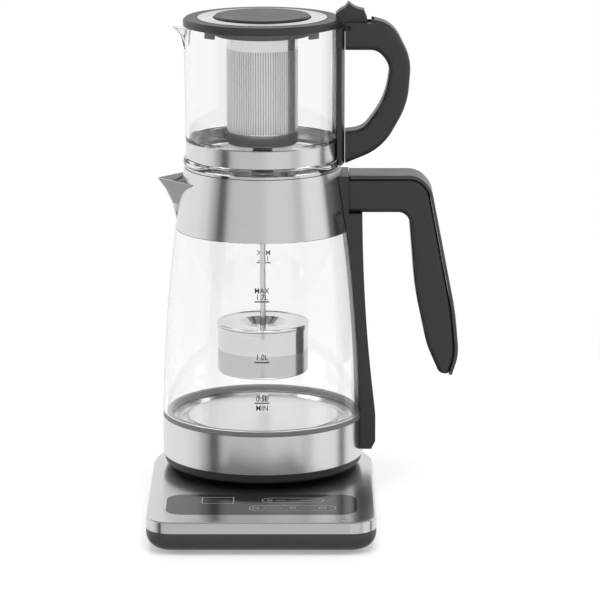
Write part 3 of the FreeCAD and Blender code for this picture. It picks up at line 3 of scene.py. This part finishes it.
import bpy
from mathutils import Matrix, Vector


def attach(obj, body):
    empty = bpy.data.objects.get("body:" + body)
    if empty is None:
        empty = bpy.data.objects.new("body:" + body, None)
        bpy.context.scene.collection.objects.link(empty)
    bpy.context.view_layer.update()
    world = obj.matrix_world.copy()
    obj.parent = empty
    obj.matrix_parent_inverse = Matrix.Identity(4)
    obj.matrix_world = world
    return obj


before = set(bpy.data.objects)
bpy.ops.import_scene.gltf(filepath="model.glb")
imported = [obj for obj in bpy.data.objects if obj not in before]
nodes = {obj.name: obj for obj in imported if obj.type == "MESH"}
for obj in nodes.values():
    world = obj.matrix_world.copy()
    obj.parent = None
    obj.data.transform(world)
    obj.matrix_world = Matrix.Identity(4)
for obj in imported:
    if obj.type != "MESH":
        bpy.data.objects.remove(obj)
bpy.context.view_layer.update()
bpy.ops.object.select_all(action="DESELECT")

# Camera: a long lens far back, a little above the tea maker and tipped down on it. The place and
# the tilt were fitted to the photo.
camera_tilt_down = 12.6
camera_data = bpy.data.cameras.new("photo_camera")
camera_data.lens = 216
camera_data.sensor_width = 36
camera_data.clip_end = 20
camera = bpy.data.objects.new("photo_camera", camera_data)
camera.location = (0.02879, -2.72222, 0.76449)
camera.rotation_euler = (math.radians(90 - camera_tilt_down), 0, 0)
bpy.context.scene.collection.objects.link(camera)
bpy.context.scene.camera = camera
bpy.context.scene.view_settings.view_transform = "Standard"


# Room: white behind everything that is looked at directly or through glass, and pale grey as a
# source of light, so that white surfaces keep their shading.
def srgb(code, alpha=1.0):
    """A colour written as sRGB hex, as linear values."""
    levels = [int(code[i:i + 2], 16) / 255 for i in (1, 3, 5)]
    return [v / 12.92 if v <= 0.04045 else ((v + 0.055) / 1.055) ** 2.4 for v in levels] + [alpha]


def add_node(material, kind, links=None, **settings):
    """Adds a shader node with its settings, and links its inputs to other nodes' outputs."""
    node = material.node_tree.nodes.new(kind)
    for name, value in settings.items():
        if name in node.inputs:
            node.inputs[name].default_value = value
        elif name.replace("_", " ") in node.inputs:
            node.inputs[name.replace("_", " ")].default_value = value
        else:
            setattr(node, name, value)
    for name, output in (links or {}).items():
        key = name if isinstance(name, int) else name.replace("_", " ")
        material.node_tree.links.new(output, node.inputs[key])
    return node


room = bpy.data.worlds.new("studio_room")
bpy.context.scene.world = room
room.use_nodes = True
room.node_tree.nodes.clear()
path = add_node(room, "ShaderNodeLightPath")
seen = add_node(room, "ShaderNodeMath", {0: path.outputs["Is Camera Ray"],
                1: path.outputs["Is Transmission Ray"]}, operation="MAXIMUM")
walls = add_node(room, "ShaderNodeBackground", Color=srgb("#C4C6C8"), Strength=0.7)
backdrop = add_node(room, "ShaderNodeBackground", Color=srgb("#FFFFFF"), Strength=1.0)
either = add_node(room, "ShaderNodeMixShader", {0: seen.outputs[0], 1: walls.outputs[0],
                  2: backdrop.outputs[0]})
add_node(room, "ShaderNodeOutputWorld", {"Surface": either.outputs[0]})


# Table: a smooth white top. It shows the soft shadow and a faint reflection of the base near the
# tea maker, and goes over into the white room further out.
def new_material(name):
    material = bpy.data.materials.new(name)
    material.use_nodes = True
    material.node_tree.nodes.clear()
    return material


def finish_material(material, shader):
    add_node(material, "ShaderNodeOutputMaterial", {"Surface": shader.outputs[0]})


bpy.ops.mesh.primitive_plane_add(size=12)
floor = bpy.context.object
floor.name = "floor"
table = new_material("white_laminate_table")
place = add_node(table, "ShaderNodeTexCoord")
away = add_node(table, "ShaderNodeVectorMath", {0: place.outputs["Object"]}, operation="LENGTH")
fade = add_node(table, "ShaderNodeMapRange", {"Value": away.outputs["Value"]},
                interpolation_type="SMOOTHSTEP", From_Min=0.22, From_Max=0.62)
pores = add_node(table, "ShaderNodeTexNoise", {"Vector": place.outputs["Object"]}, Scale=900.0)
sheen = add_node(table, "ShaderNodeMapRange", {"Value": pores.outputs["Fac"]}, To_Min=0.2,
                 To_Max=0.26)
top = add_node(table, "ShaderNodeBsdfPrincipled", {"Roughness": sheen.outputs[0]},
               Base_Color=srgb("#EFEFEF"))
glow = add_node(table, "ShaderNodeEmission", Color=srgb("#FFFFFF"), Strength=0.3)
near = add_node(table, "ShaderNodeAddShader", {0: top.outputs[0], 1: glow.outputs[0]})
white = add_node(table, "ShaderNodeEmission", Color=srgb("#FFFFFF"), Strength=1.0)
finish_material(table, add_node(table, "ShaderNodeMixShader", {
    0: fade.outputs["Result"], 1: near.outputs[0], 2: white.outputs[0]}))
floor.data.materials.append(table)
floor.visible_glossy = False

# Walls of light: cards on a ring of 4.2 m round the tea maker, given by their compass angles, 0
# being towards the camera and 90 to its right. The narrow dark ones are flags, which draw the
# soft dark streaks on the steel. They reach below the table, because the upright steel mirrors
# what lies lower than itself.
card_ring = 4.2
card_middle_height, card_height = 0.5, 5.0
card_step = 12
card_materials = {}
for number, (left, right, strength) in enumerate((
    (-160, -92, 0.95), (-92, -76, 0.86), (-76, -64, 0.5), (-64, -50, 0.03), (-50, -38, 0.66),
    (-38, 4, 0.66), (4, 44, 0.8), (44, 58, 0.62), (58, 97, 0.95), (97, 108, 0.04),
    (108, 158, 0.95), (158, 200, 0.92),
)):
    middle, width = (left + right) / 2, right - left
    steps = max(1, round(width / card_step))
    bpy.ops.mesh.primitive_grid_add(x_subdivisions=steps, y_subdivisions=1, size=1)
    card = bpy.context.object
    card.name = "studio_card_%d" % number
    for corner in card.data.vertices:
        turn = math.radians(middle + corner.co.x * width)
        height = card_middle_height + corner.co.y * card_height
        corner.co = (card_ring * math.sin(turn), -card_ring * math.cos(turn), height)
    if strength not in card_materials:
        glow = new_material("lit_card_%d" % int(strength * 100))
        finish_material(glow, add_node(glow, "ShaderNodeEmission", Color=srgb("#FFFFFF"),
                                       Strength=strength))
        card_materials[strength] = glow
    card.data.materials.append(card_materials[strength])
    card.visible_camera = False
    card.visible_transmission = False
    card.visible_diffuse = False
    card.visible_shadow = False

# Glass flags: grey cards at both sides that only the glass looks at. Glass bends the view most at
# its edges, and so draws itself as a thin grey line on the white.
flag_ring, flag_height = 3.9, 4.0
flag_grey = new_material("glass_flag_grey")
finish_material(flag_grey, add_node(flag_grey, "ShaderNodeEmission", Color=srgb("#FFFFFF"),
                                    Strength=0.16))
for number, (left, right) in enumerate(((38, 128), (-128, -38))):
    bpy.ops.mesh.primitive_grid_add(x_subdivisions=8, y_subdivisions=1, size=1)
    card = bpy.context.object
    card.name = "glass_flag_%d" % number
    for corner in card.data.vertices:
        turn = math.radians((left + right) / 2 + corner.co.x * (right - left))
        height = card_middle_height + corner.co.y * flag_height
        corner.co = (flag_ring * math.sin(turn), -flag_ring * math.cos(turn), height)
    card.data.materials.append(flag_grey)
    card.visible_camera = False
    card.visible_glossy = False
    card.visible_diffuse = False
    card.visible_shadow = False

# Lamps: one broad soft box above and in front, and a smaller one on each side. They light the
# plastic and the table; steel and glass do not mirror them.
lamp_aim = Vector((0, 0, 0.2))
for name, spot, size, power in (
    ("soft_box_top", (0.2, -1.2, 2.4), 1.8, 36),
    ("soft_box_left", (-2.0, -0.8, 1.2), 1.4, 16),
    ("soft_box_right", (2.0, -0.4, 1.2), 1.4, 14),
):
    lamp_data = bpy.data.lights.new(name, "AREA")
    lamp_data.size = size
    lamp_data.energy = power
    lamp = bpy.data.objects.new(name, lamp_data)
    lamp.location = spot
    lamp.rotation_euler = (lamp_aim - Vector(spot)).to_track_quat("-Z", "Y").to_euler()
    lamp.visible_glossy = False
    bpy.context.scene.collection.objects.link(lamp)


# Base housing: a moulded tray and an upper frame of dark ABS, screwed together from below. Their
# spark-eroded skin is satin, and reads as an even charcoal with soft edges.
def wear(finish, *names):
    for name in names:
        nodes[name].data.materials.clear()
        nodes[name].data.materials.append(finish)


def moulded(name, tint, roughness, grain=0.0006, bumps=0.12):
    """Moulded plastic: a fine grain of hills, and a sheen that drifts a little over the piece."""
    plastic = new_material(name)
    place = add_node(plastic, "ShaderNodeTexCoord")
    skin = add_node(plastic, "ShaderNodeTexNoise", {"Vector": place.outputs["Object"]},
                    Scale=1 / grain, Detail=2.0)
    hills = add_node(plastic, "ShaderNodeBump", {"Height": skin.outputs["Fac"]}, Strength=bumps,
                     Distance=0.0001)
    cloud = add_node(plastic, "ShaderNodeTexNoise", {"Vector": place.outputs["Object"]},
                     Scale=60.0)
    sheen = add_node(plastic, "ShaderNodeMapRange", {"Value": cloud.outputs["Fac"]},
                     To_Min=roughness - 0.05, To_Max=roughness + 0.05)
    finish_material(plastic, add_node(plastic, "ShaderNodeBsdfPrincipled", {
        "Normal": hills.outputs[0], "Roughness": sheen.outputs[0]}, Base_Color=srgb(tint),
        IOR=1.5))
    return plastic


wear(moulded("abs_spark_eroded_charcoal", "#353537", 0.4), "base_tray", "base_carrier")


# Base cover: a pressing of stainless sheet, brushed from side to side before it was pressed. The
# long scratches draw highlights out towards and away from the viewer.
def brushed(name, tint, roughness, scratches, spread=0.4):
    """Stainless steel with fine scratches; scratches gives how often they change along x, y, z."""
    steel = new_material(name)
    place = add_node(steel, "ShaderNodeTexCoord")
    lines = add_node(steel, "ShaderNodeMapping", {"Vector": place.outputs["Object"]},
                     Scale=scratches)
    grain = add_node(steel, "ShaderNodeTexNoise", {"Vector": lines.outputs[0]}, Scale=1.0,
                     Detail=3.0, Roughness=0.6)
    shade = add_node(steel, "ShaderNodeMapRange", {"Value": grain.outputs["Fac"]}, To_Min=0.93,
                     To_Max=1.04)
    colour = add_node(steel, "ShaderNodeMix", {6: shade.outputs[0]}, data_type="RGBA",
                      blend_type="MULTIPLY")
    colour.inputs[0].default_value = 1.0
    colour.inputs[7].default_value = srgb(tint)
    rough = add_node(steel, "ShaderNodeMapRange", {"Value": grain.outputs["Fac"]},
                     To_Min=roughness * 0.8, To_Max=roughness * 1.25)
    bump = add_node(steel, "ShaderNodeBump", {"Height": grain.outputs["Fac"]},
                    Strength=spread * 0.14, Distance=0.0002)
    finish_material(steel, add_node(steel, "ShaderNodeBsdfPrincipled", {
        "Base_Color": colour.outputs[2], "Roughness": rough.outputs[0],
        "Normal": bump.outputs[0]}, Metallic=1.0))
    return steel


wear(brushed("stainless_sheet_brushed_lengthwise", "#D8D8DA", 0.2, (40, 2600, 2600)),
     "base_cover")

# Touch panel: a black acrylic window let into the cover. It is polished, and a slight waviness of
# the moulding lets the reflections of steel and glass swim a little in it.
acrylic = new_material("acrylic_polished_black")
place = add_node(acrylic, "ShaderNodeTexCoord")
waves = add_node(acrylic, "ShaderNodeTexNoise", {"Vector": place.outputs["Object"]}, Scale=110.0)
ripple = add_node(acrylic, "ShaderNodeBump", {"Height": waves.outputs["Fac"]}, Strength=0.03,
                  Distance=0.0006)
wiped = add_node(acrylic, "ShaderNodeMapRange", {"Value": waves.outputs["Fac"]}, To_Min=0.06,
                 To_Max=0.16)
finish_material(acrylic, add_node(acrylic, "ShaderNodeBsdfPrincipled", {
    "Normal": ripple.outputs[0], "Roughness": wiped.outputs[0]}, Base_Color=srgb("#26272A"),
    IOR=1.49))
wear(acrylic, "control_panel", "display_module", "buzzer")

# Panel print: pale grey ink on the acrylic, in lines half a millimetre wide. It frames the display
# window and the two rows of touch fields, with a few small signs for the keys.
ink_thickness = 0.00005
print_height = nodes["control_panel"].bound_box[6][2] + ink_thickness
line_width = 0.0006
ink = new_material("screen_print_grey_ink")
place = add_node(ink, "ShaderNodeTexCoord")
screen = add_node(ink, "ShaderNodeTexNoise", {"Vector": place.outputs["Object"]}, Scale=4000.0)
shade = add_node(ink, "ShaderNodeMapRange", {"Value": screen.outputs["Fac"]}, To_Min=0.42,
                 To_Max=0.56)
finish_material(ink, add_node(ink, "ShaderNodeBsdfPrincipled", {"Roughness": shade.outputs[0]},
                              Base_Color=srgb("#A9ABAE")))
prints = []
for left, right, front, back, corner_round in (
    (-0.0452, -0.0209, -0.1189, -0.1015, 0.0006),
    (0.0, 0.0467, -0.1167, -0.1034, 0.00655),
    (-0.0094, 0.0558, -0.1390, -0.1238, 0.0075),
):
    bpy.ops.mesh.primitive_plane_add(size=1)
    outline = bpy.context.object
    for corner in outline.data.vertices:
        corner.co = ((left + right) / 2 + corner.co.x * (right - left),
                     (front + back) / 2 + corner.co.y * (back - front), print_height)
    bpy.ops.object.mode_set(mode="EDIT")
    bpy.ops.mesh.select_all(action="SELECT")
    bpy.ops.mesh.bevel(offset=corner_round, segments=10, affect="VERTICES")
    bpy.ops.mesh.select_all(action="SELECT")
    bpy.ops.mesh.inset(thickness=line_width)
    bpy.ops.mesh.delete(type="FACE")
    bpy.ops.object.mode_set(mode="OBJECT")
    prints.append(outline)
for x, y, radius, sides in (
    (-0.0045, -0.1311, 0.0026, 20), (0.0236, -0.1309, 0.0022, 20), (0.0456, -0.1309, 0.0030, 24),
    (0.0060, -0.1100, 0.0020, 16),
):
    bpy.ops.mesh.primitive_circle_add(vertices=sides, radius=radius, fill_type="NGON")
    sign = bpy.context.object
    for corner in sign.data.vertices:
        corner.co += Vector((x, y, print_height))
    bpy.ops.object.mode_set(mode="EDIT")
    bpy.ops.mesh.select_all(action="SELECT")
    bpy.ops.mesh.inset(thickness=line_width)
    bpy.ops.mesh.delete(type="FACE")
    bpy.ops.object.mode_set(mode="OBJECT")
    prints.append(sign)
for x, y, length, width in (
    (0.0138, -0.1100, 0.0080, 0.0005), (0.0335, -0.1100, 0.0070, 0.0005),
    (0.0088, -0.1311, 0.0140, 0.0005), (0.0342, -0.1311, 0.0110, 0.0005),
    (0.0456, -0.1284, 0.0006, 0.0030), (0.0236, -0.1287, 0.0034, 0.0006),
    (0.0022, -0.1311, 0.0005, 0.0040),
):
    bpy.ops.mesh.primitive_plane_add(size=1)
    dash = bpy.context.object
    for corner in dash.data.vertices:
        corner.co = (x + corner.co.x * length, y + corner.co.y * width, print_height)
    prints.append(dash)
for line in prints:
    line.select_set(True)
bpy.context.view_layer.objects.active = prints[0]
bpy.ops.object.join()
panel_print = bpy.context.object
panel_print.name = "panel_print"
panel_print.data.materials.clear()
panel_print.data.materials.append(ink)
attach(panel_print, "base")
bpy.ops.object.select_all(action="DESELECT")

# Electronics in the base: two glass-fibre boards under green lacquer, whose copper tracks show as
# fine darker squares, and a relay in a moulded case.
board = new_material("glass_fibre_board_green_lacquer")
place = add_node(board, "ShaderNodeTexCoord")
tracks = add_node(board, "ShaderNodeTexBrick", {"Vector": place.outputs["Object"]}, Scale=240.0)
tracks.inputs["Color1"].default_value = srgb("#1F5B34")
tracks.inputs["Color2"].default_value = srgb("#236A3C")
tracks.inputs["Mortar"].default_value = srgb("#17472A")
finish_material(board, add_node(board, "ShaderNodeBsdfPrincipled",
                                {"Base_Color": tracks.outputs["Color"]}, Roughness=0.4))
wear(board, "touch_board", "power_board")

# Connector: the round plug in the middle of the base and the socket that sits on it are moulded
# from matt black polyamide; the pin between them is turned brass with fine lathe rings.
polyamide = moulded("polyamide_matt_black", "#1B1B1C", 0.5)
wear(polyamide, "base_connector", "kettle_coupler", "power_relay", "lid_knob")
brass = new_material("brass_turned")
place = add_node(brass, "ShaderNodeTexCoord")
rings = add_node(brass, "ShaderNodeTexWave", {"Vector": place.outputs["Object"]}, Scale=900.0,
                 bands_direction="Z")
cut = add_node(brass, "ShaderNodeMapRange", {"Value": rings.outputs["Fac"]}, To_Min=0.2,
               To_Max=0.32)
finish_material(brass, add_node(brass, "ShaderNodeBsdfPrincipled", {"Roughness": cut.outputs[0]},
                                Base_Color=srgb("#C9A24B"), Metallic=1.0))
wear(brass, "contact_pin")

# Cord bush, feet and screws: moulded rubber, matt and nearly black. The screws, rod, probe and
# heater tube are drawn stainless with fine scratches.
wear(moulded("rubber_moulded_black", "#1E1E1F", 0.7, 0.0004), "cord_gland", "base_feet")
drawn = brushed("stainless_wire_and_strip_drawn", "#D0D0D2", 0.16, (40, 40, 1800))
wear(drawn, "base_screws", "heating_element", "temperature_probe", "basket_rod")

# Kettle foot: a dark moulded cup with a ring of spun stainless round it. The ring was ground on a
# lathe, so its scratches run round it and its highlights stand upright.
wear(moulded("abs_moulded_kettle_cup", "#303032", 0.42), "kettle_cup")
spun = brushed("stainless_spun_and_ground", "#E2E2E4", 0.22, (40, 40, 2600))
wear(spun, "kettle_ring", "kettle_collar", "teapot_band", "heating_floor")

# Glass seal: a lip of clear grey silicone between the ring and the glass. It takes the colour of
# the steel behind it, and shows as a grey line.
silicone = new_material("silicone_clear_grey")
place = add_node(silicone, "ShaderNodeTexCoord")
haze = add_node(silicone, "ShaderNodeTexNoise", {"Vector": place.outputs["Object"]}, Scale=500.0)
cloudy = add_node(silicone, "ShaderNodeMapRange", {"Value": haze.outputs["Fac"]}, To_Min=0.28,
                  To_Max=0.42)
seal = add_node(silicone, "ShaderNodeBsdfPrincipled", {"Roughness": cloudy.outputs[0]},
                Base_Color=srgb("#8E9092"), IOR=1.41)
seal.inputs["Transmission Weight"].default_value = 0.55
finish_material(silicone, seal)
wear(silicone, "glass_seal")


# Kettle glass: a blown borosilicate wall. It is clear, with the least breath of grey, and slightly
# uneven, so that what stands behind it bends softly.
def clear_glass(name, tint):
    glass = new_material(name)
    place = add_node(glass, "ShaderNodeTexCoord")
    draw = add_node(glass, "ShaderNodeTexNoise", {"Vector": place.outputs["Object"]}, Scale=26.0)
    sway = add_node(glass, "ShaderNodeBump", {"Height": draw.outputs["Fac"]}, Strength=0.02,
                    Distance=0.001)
    pane = add_node(glass, "ShaderNodeBsdfPrincipled", {"Normal": sway.outputs[0]},
                    Base_Color=srgb(tint), Roughness=0.0, IOR=1.47)
    pane.inputs["Transmission Weight"].default_value = 1.0
    light = add_node(glass, "ShaderNodeBsdfTransparent", Color=srgb("#F6F7F7"))
    ray = add_node(glass, "ShaderNodeLightPath")
    finish_material(glass, add_node(glass, "ShaderNodeMixShader", {
        0: ray.outputs["Is Shadow Ray"], 1: pane.outputs[0], 2: light.outputs[0]}))
    return glass


wear(clear_glass("borosilicate_blown_kettle", "#FBFCFC"), "kettle_glass")

# Level marks: black enamel fired onto the outside of the glass, at the front and again at the
# back, so that they can be read from both sides. Letters and lines follow the curved wall.
enamel = new_material("enamel_fired_black")
place = add_node(enamel, "ShaderNodeTexCoord")
grit = add_node(enamel, "ShaderNodeTexNoise", {"Vector": place.outputs["Object"]}, Scale=3000.0)
matt = add_node(enamel, "ShaderNodeMapRange", {"Value": grit.outputs["Fac"]}, To_Min=0.3,
                To_Max=0.5)
finish_material(enamel, add_node(enamel, "ShaderNodeBsdfPrincipled",
                                 {"Roughness": matt.outputs[0]}, Base_Color=srgb("#18181A")))


def glass_radius(z):
    """The kettle glass's outer radius at a height, with its slight belly."""
    foot_radius, foot_z, mouth_radius, mouth_z, belly = 0.0779, 0.0704, 0.0672, 0.2141, 0.0019
    share = (z - foot_z) / (mouth_z - foot_z)
    return foot_radius + (mouth_radius - foot_radius) * share + 4 * belly * share * (1 - share)


letter_size, letter_width, letter_weight = 0.0060, 0.86, 0.00005
mark_line_length, mark_line_width = 0.0112, 0.0009
enamel_thickness = 0.0001
marks = []
for words, baseline in (
    ("MAX", 0.1769), ("1.7L", 0.1720), ("1.0L", 0.1262), ("0.5L", 0.0945), ("MIN", 0.0873),
):
    bpy.ops.object.text_add(location=(0, 0, 0))
    mark = bpy.context.object
    mark.data.body = words
    mark.data.align_x = "CENTER"
    mark.data.size = letter_size
    mark.data.offset = letter_weight
    mark.data.space_character = 1.04
    bpy.ops.object.convert(target="MESH")
    for corner in mark.data.vertices:
        corner.co = (corner.co.x * letter_width, 0, corner.co.y + baseline)
    marks.append(mark)
for baseline in (0.1706, 0.1244, 0.0931):
    bpy.ops.mesh.primitive_grid_add(x_subdivisions=14, y_subdivisions=1, size=1)
    line = bpy.context.object
    for corner in line.data.vertices:
        corner.co = (corner.co.x * mark_line_length, 0,
                     baseline + corner.co.y * mark_line_width)
    marks.append(line)
for mark in marks:
    mark.select_set(True)
bpy.context.view_layer.objects.active = marks[0]
bpy.ops.object.join()
front_marks = bpy.context.object
bpy.ops.object.duplicate()
back_marks = bpy.context.object
for name, marked, side in (
    ("level_marks_front", front_marks, -1), ("level_marks_back", back_marks, 1),
):
    marked.name = name
    for corner in marked.data.vertices:
        reach = glass_radius(corner.co.z) + enamel_thickness
        turn = corner.co.x / reach
        corner.co = (-side * reach * math.sin(turn), side * reach * math.cos(turn), corner.co.z)
    marked.data.materials.clear()
    marked.data.materials.append(enamel)
    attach(marked, "kettle")
bpy.ops.object.select_all(action="DESELECT")

# Spout strainer: a slotted strip of stainless behind the spout, inside the collar. Its drawn
# surface is a little brighter than the collar's.
wear(drawn, "spout_strainer")

# Handles: charcoal ABS grips with a fine grain and a soft sheen, and the moulded strips down the
# glass behind them. The cover strip over the back of the kettle's grip is given a lighter charcoal
# as painted light: it stands in for its top face catching more light than the sides.
grip = moulded("abs_moulded_grip", "#29292B", 0.36)
wear(grip, "kettle_handle", "kettle_spine", "teapot_spine", "teapot_handle")
wear(moulded("abs_grip_cover_painted_top_light", "#3C3C3F", 0.34), "handle_cover")

# Kettle lid, brewing basket and the infuser's steel: pressings of thin stainless, polished after
# the press, so that they mirror more sharply than the spun ring and collar.
pressed = brushed("stainless_pressed_and_polished", "#DCDCDE", 0.13, (40, 40, 1400), 0.25)
wear(pressed, "kettle_lid", "basket_cap", "basket_can", "basket_strainer",
     "lid_trim_ring", "infuser_neck", "infuser_mesh")


def punched_sleeve(name, radius, low, high, round_count, row_count, hole_width, hole_height,
                   painted_hole_shade):
    """A sleeve of finely punched steel foil: an open cylinder whose holes are not cut but painted,
    as dull spots in the colour painted_hole_shade, which is painted shade.

    hole_width and hole_height are shares of the distance from one hole to the next.
    """
    bpy.ops.mesh.primitive_cylinder_add(vertices=96, radius=radius, depth=high - low,
                                        end_fill_type="NOTHING")
    sleeve = bpy.context.object
    sleeve.name = name
    for corner in sleeve.data.vertices:
        corner.co.z += (low + high) / 2
    bpy.ops.object.shade_smooth()
    foil = new_material(name + "_punched_stainless_foil")
    place = add_node(foil, "ShaderNodeTexCoord")
    axes = add_node(foil, "ShaderNodeSeparateXYZ", {0: place.outputs["Object"]})
    turn = add_node(foil, "ShaderNodeMath", {0: axes.outputs["Y"], 1: axes.outputs["X"]},
                    operation="ARCTAN2")
    inside = []
    for source, scale, size in (
        (turn.outputs[0], round_count / (2 * math.pi), hole_width),
        (axes.outputs["Z"], row_count / (high - low), hole_height),
    ):
        steps = add_node(foil, "ShaderNodeMath", {0: source}, operation="MULTIPLY")
        steps.inputs[1].default_value = scale
        share = add_node(foil, "ShaderNodeMath", {0: steps.outputs[0]}, operation="PINGPONG")
        share.inputs[1].default_value = 0.5
        hole = add_node(foil, "ShaderNodeMath", {0: share.outputs[0]}, operation="LESS_THAN")
        hole.inputs[1].default_value = size / 2
        inside.append(hole)
    both = add_node(foil, "ShaderNodeMath", {0: inside[0].outputs[0], 1: inside[1].outputs[0]},
                    operation="MULTIPLY")
    sheet = add_node(foil, "ShaderNodeBsdfPrincipled", Base_Color=srgb("#D2D2D4"), Metallic=1.0,
                     Roughness=0.24)
    # The holes: a dull, half-metal grey painted where the foil is punched, as painted shade
    # standing in for the dark seen through them.
    dark = add_node(foil, "ShaderNodeBsdfPrincipled", Base_Color=srgb(painted_hole_shade), Roughness=0.5,
                    Metallic=0.6)
    finish_material(foil, add_node(foil, "ShaderNodeMixShader", {
        0: both.outputs[0], 1: sheet.outputs[0], 2: dark.outputs[0]}))
    sleeve.data.materials.append(foil)
    return sleeve


# Basket sleeve: steel foil with holes of about 0.4 mm, round the lower half of the can. The holes
# are painted grey as painted shade; from a distance it reads as an even band, a little greyer than
# the plain steel.
basket_sleeve = punched_sleeve("basket_sleeve", 0.03492, 0.1024, 0.1188, 240, 18, 0.45, 0.45,
                               "#6E7072")
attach(basket_sleeve, "basket")

# Teapot: blown from the same clear glass as the kettle. The lid ring with its lever, the cap and
# the carrier ring in the mouth are moulded from charcoal ABS.
wear(clear_glass("borosilicate_blown_teapot", "#FBFCFC"), "teapot_glass")
wear(moulded("abs_moulded_lid", "#2B2B2D", 0.38), "teapot_lid", "infuser_cap",
     "infuser_carrier")

# Hinge pin and infuser cup: a blackened pin that hardly shows in the grip, and a closed steel cup
# whose stainless is given a dark grey colour as painted shade, so that it looks darker than the
# bright sleeve above it.
wear(brushed("steel_blackened_pin", "#303032", 0.35, (40, 2600, 40)), "hinge_pin")
wear(brushed("stainless_deep_drawn_painted_shade", "#7E8082", 0.2, (40, 40, 1400), 0.25), "infuser_bottom")

# Infuser sleeve: steel foil with close upright slits, round the long part of the infuser. The
# slits are painted as pale grey lines of painted shade, and give the fine upright lines on the
# bright steel.
infuser_sleeve = punched_sleeve("infuser_sleeve", 0.02732, 0.2900, 0.3535, 90, 1, 0.4, 1.1,
                                "#A2A4A6")
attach(infuser_sleeve, "tea_infuser")
